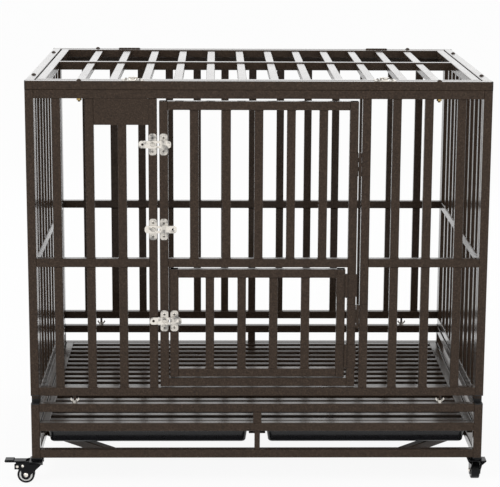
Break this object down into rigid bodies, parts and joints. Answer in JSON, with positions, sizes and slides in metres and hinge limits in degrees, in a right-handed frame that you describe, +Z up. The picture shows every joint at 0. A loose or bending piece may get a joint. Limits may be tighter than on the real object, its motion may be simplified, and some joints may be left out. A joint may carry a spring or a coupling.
{
  "type": "dog crate",
  "caption": "Rolling dog crate of welded square tube with a barred main door, a small feeding door inside it, a hinged barred lid, a grated floor and pull-out trays.",
  "frame": {"origin": "on the floor under the middle of the crate's footprint", "axes": "+X to the right seen from the front, +Y from the front to the back, +Z up"},
  "size_m": [1.144, 0.8095, 0.9643],
  "materials": {
    "coat": "fine textured powder coat",
    "zinc": "bright zinc plate",
    "brass_plate": "yellow passivated zinc",
    "plug_plastic": "matt",
    "tray_plastic": "glossy",
    "fork_steel": "satin black",
    "tyre_rubber": "matt",
    "hub_plastic": "satin"
  },
  "bodies": {
    "crate": {"base_frame": "coat", "tray_runners": "coat", "floor_grate": "coat", "front_panel": "coat", "back_panel": "coat", "left_panel": "coat", "right_panel": "coat", "top_frame": "coat", "name_plate": "coat", "tube_plugs": "plug_plastic", "top_bolts": "coat", "base_bolts": "coat", "hex_nuts": "brass_plate", "wing_nuts": "zinc", "latch_keepers": "zinc", "keeper_rivets": "zinc", "fixed_hinge_leaves": "coat", "hinge_pins": "coat", "caster_stems": "fork_steel"},
    "main_door": {"main_door": "coat", "door_hinge_leaves": "coat", "door_latch_guides": "zinc", "feed_latch_keeper": "zinc", "door_rivets": "zinc", "feed_fixed_leaves": "coat", "feed_hinge_pins": "coat"},
    "feed_door": {"feed_door": "coat", "feed_hinge_leaves": "coat", "feed_latch_guide": "zinc", "feed_rivets": "zinc"},
    "lid": {"lid": "coat", "lid_hinge_leaves": "coat", "lid_latch_guides": "zinc", "lid_rivets": "zinc"},
    "upper_latch": {"upper_latch_slide": "zinc"},
    "middle_latch": {"middle_latch_slide": "zinc"},
    "feed_latch": {"feed_latch_slide": "zinc"},
    "left_lid_latch": {"left_lid_slide": "zinc"},
    "right_lid_latch": {"right_lid_slide": "zinc"},
    "left_tray": {"left_tray": "tray_plastic"},
    "right_tray": {"right_tray": "tray_plastic"},
    "caster_fl": {"fork_fl": "fork_steel", "axle_fl": "zinc"},
    "wheel_fl": {"tyre_fl": "tyre_rubber", "hub_fl": "hub_plastic"},
    "pedal_fl": {"pedal_fl": "fork_steel"},
    "caster_fr": {"fork_fr": "fork_steel", "axle_fr": "zinc"},
    "wheel_fr": {"tyre_fr": "tyre_rubber", "hub_fr": "hub_plastic"},
    "pedal_fr": {"pedal_fr": "fork_steel"},
    "caster_bl": {"fork_bl": "fork_steel", "axle_bl": "zinc"},
    "wheel_bl": {"tyre_bl": "tyre_rubber", "hub_bl": "hub_plastic"},
    "caster_br": {"fork_br": "fork_steel", "axle_br": "zinc"},
    "wheel_br": {"tyre_br": "tyre_rubber", "hub_br": "hub_plastic"}
  },
  "joints": [
    {"name": "main_door_hinge", "type": "hinge", "parent": "crate", "child": "main_door", "pos_m": [0.2325, -0.3845, 0.57525], "axis": [0, 0, 1], "range_deg": [0, 170]},
    {"name": "feed_door_hinge", "type": "hinge", "parent": "main_door", "child": "feed_door", "pos_m": [0.2055, -0.3845, 0.39075], "axis": [0, 0, -1], "range_deg": [-170, 0]},
    {"name": "lid_hinge", "type": "hinge", "parent": "crate", "child": "lid", "pos_m": [0, 0.3575, 0.958], "axis": [-1, 0, 0], "range_deg": [0, 145]},
    {"name": "upper_latch_slide", "type": "slide", "parent": "main_door", "child": "upper_latch", "axis": [-1, 0, 0], "range_m": [0, 0.015]},
    {"name": "middle_latch_slide", "type": "slide", "parent": "main_door", "child": "middle_latch", "axis": [-1, 0, 0], "range_m": [0, 0.015]},
    {"name": "feed_latch_slide", "type": "slide", "parent": "feed_door", "child": "feed_latch", "axis": [-1, 0, 0], "range_m": [0, 0.015]},
    {"name": "left_lid_latch_slide", "type": "slide", "parent": "lid", "child": "left_lid_latch", "axis": [0, -1, 0], "range_m": [0, 0.015]},
    {"name": "right_lid_latch_slide", "type": "slide", "parent": "lid", "child": "right_lid_latch", "axis": [0, -1, 0], "range_m": [0, 0.015]},
    {"name": "left_tray_slide", "type": "slide", "parent": "crate", "child": "left_tray", "axis": [0, -1, 0], "range_m": [0, 0.6]},
    {"name": "right_tray_slide", "type": "slide", "parent": "crate", "child": "right_tray", "axis": [0, -1, 0], "range_m": [0, 0.6]},
    {"name": "swivel_fl", "type": "hinge", "parent": "crate", "child": "caster_fl", "pos_m": [-0.5235, -0.371, 0.054], "axis": [0, 0, 1], "continuous": true},
    {"name": "wheel_fl", "type": "hinge", "parent": "caster_fl", "child": "wheel_fl", "pos_m": [-0.5485, -0.371, 0.0205], "axis": [0, -1, 0], "continuous": true},
    {"name": "brake_fl", "type": "hinge", "parent": "caster_fl", "child": "pedal_fl", "pos_m": [-0.5685, -0.371, 0.0413], "axis": [0, -1, 0], "range_deg": [0, 15]},
    {"name": "swivel_fr", "type": "hinge", "parent": "crate", "child": "caster_fr", "pos_m": [0.5235, -0.371, 0.054], "axis": [0, 0, 1], "continuous": true},
    {"name": "wheel_fr", "type": "hinge", "parent": "caster_fr", "child": "wheel_fr", "pos_m": [0.5235, -0.346, 0.0205], "axis": [-1, 0, 0], "continuous": true},
    {"name": "brake_fr", "type": "hinge", "parent": "caster_fr", "child": "pedal_fr", "pos_m": [0.5235, -0.326, 0.0413], "axis": [-1, 0, 0], "range_deg": [0, 15]},
    {"name": "swivel_bl", "type": "hinge", "parent": "crate", "child": "caster_bl", "pos_m": [-0.5235, 0.371, 0.054], "axis": [0, 0, 1], "continuous": true},
    {"name": "wheel_bl", "type": "hinge", "parent": "caster_bl", "child": "wheel_bl", "pos_m": [-0.5235, 0.396, 0.0205], "axis": [-1, 0, 0], "continuous": true},
    {"name": "swivel_br", "type": "hinge", "parent": "crate", "child": "caster_br", "pos_m": [0.5235, 0.371, 0.054], "axis": [0, 0, 1], "continuous": true},
    {"name": "wheel_br", "type": "hinge", "parent": "caster_br", "child": "wheel_br", "pos_m": [0.5235, 0.396, 0.0205], "axis": [-1, 0, 0], "continuous": true}
  ]
}
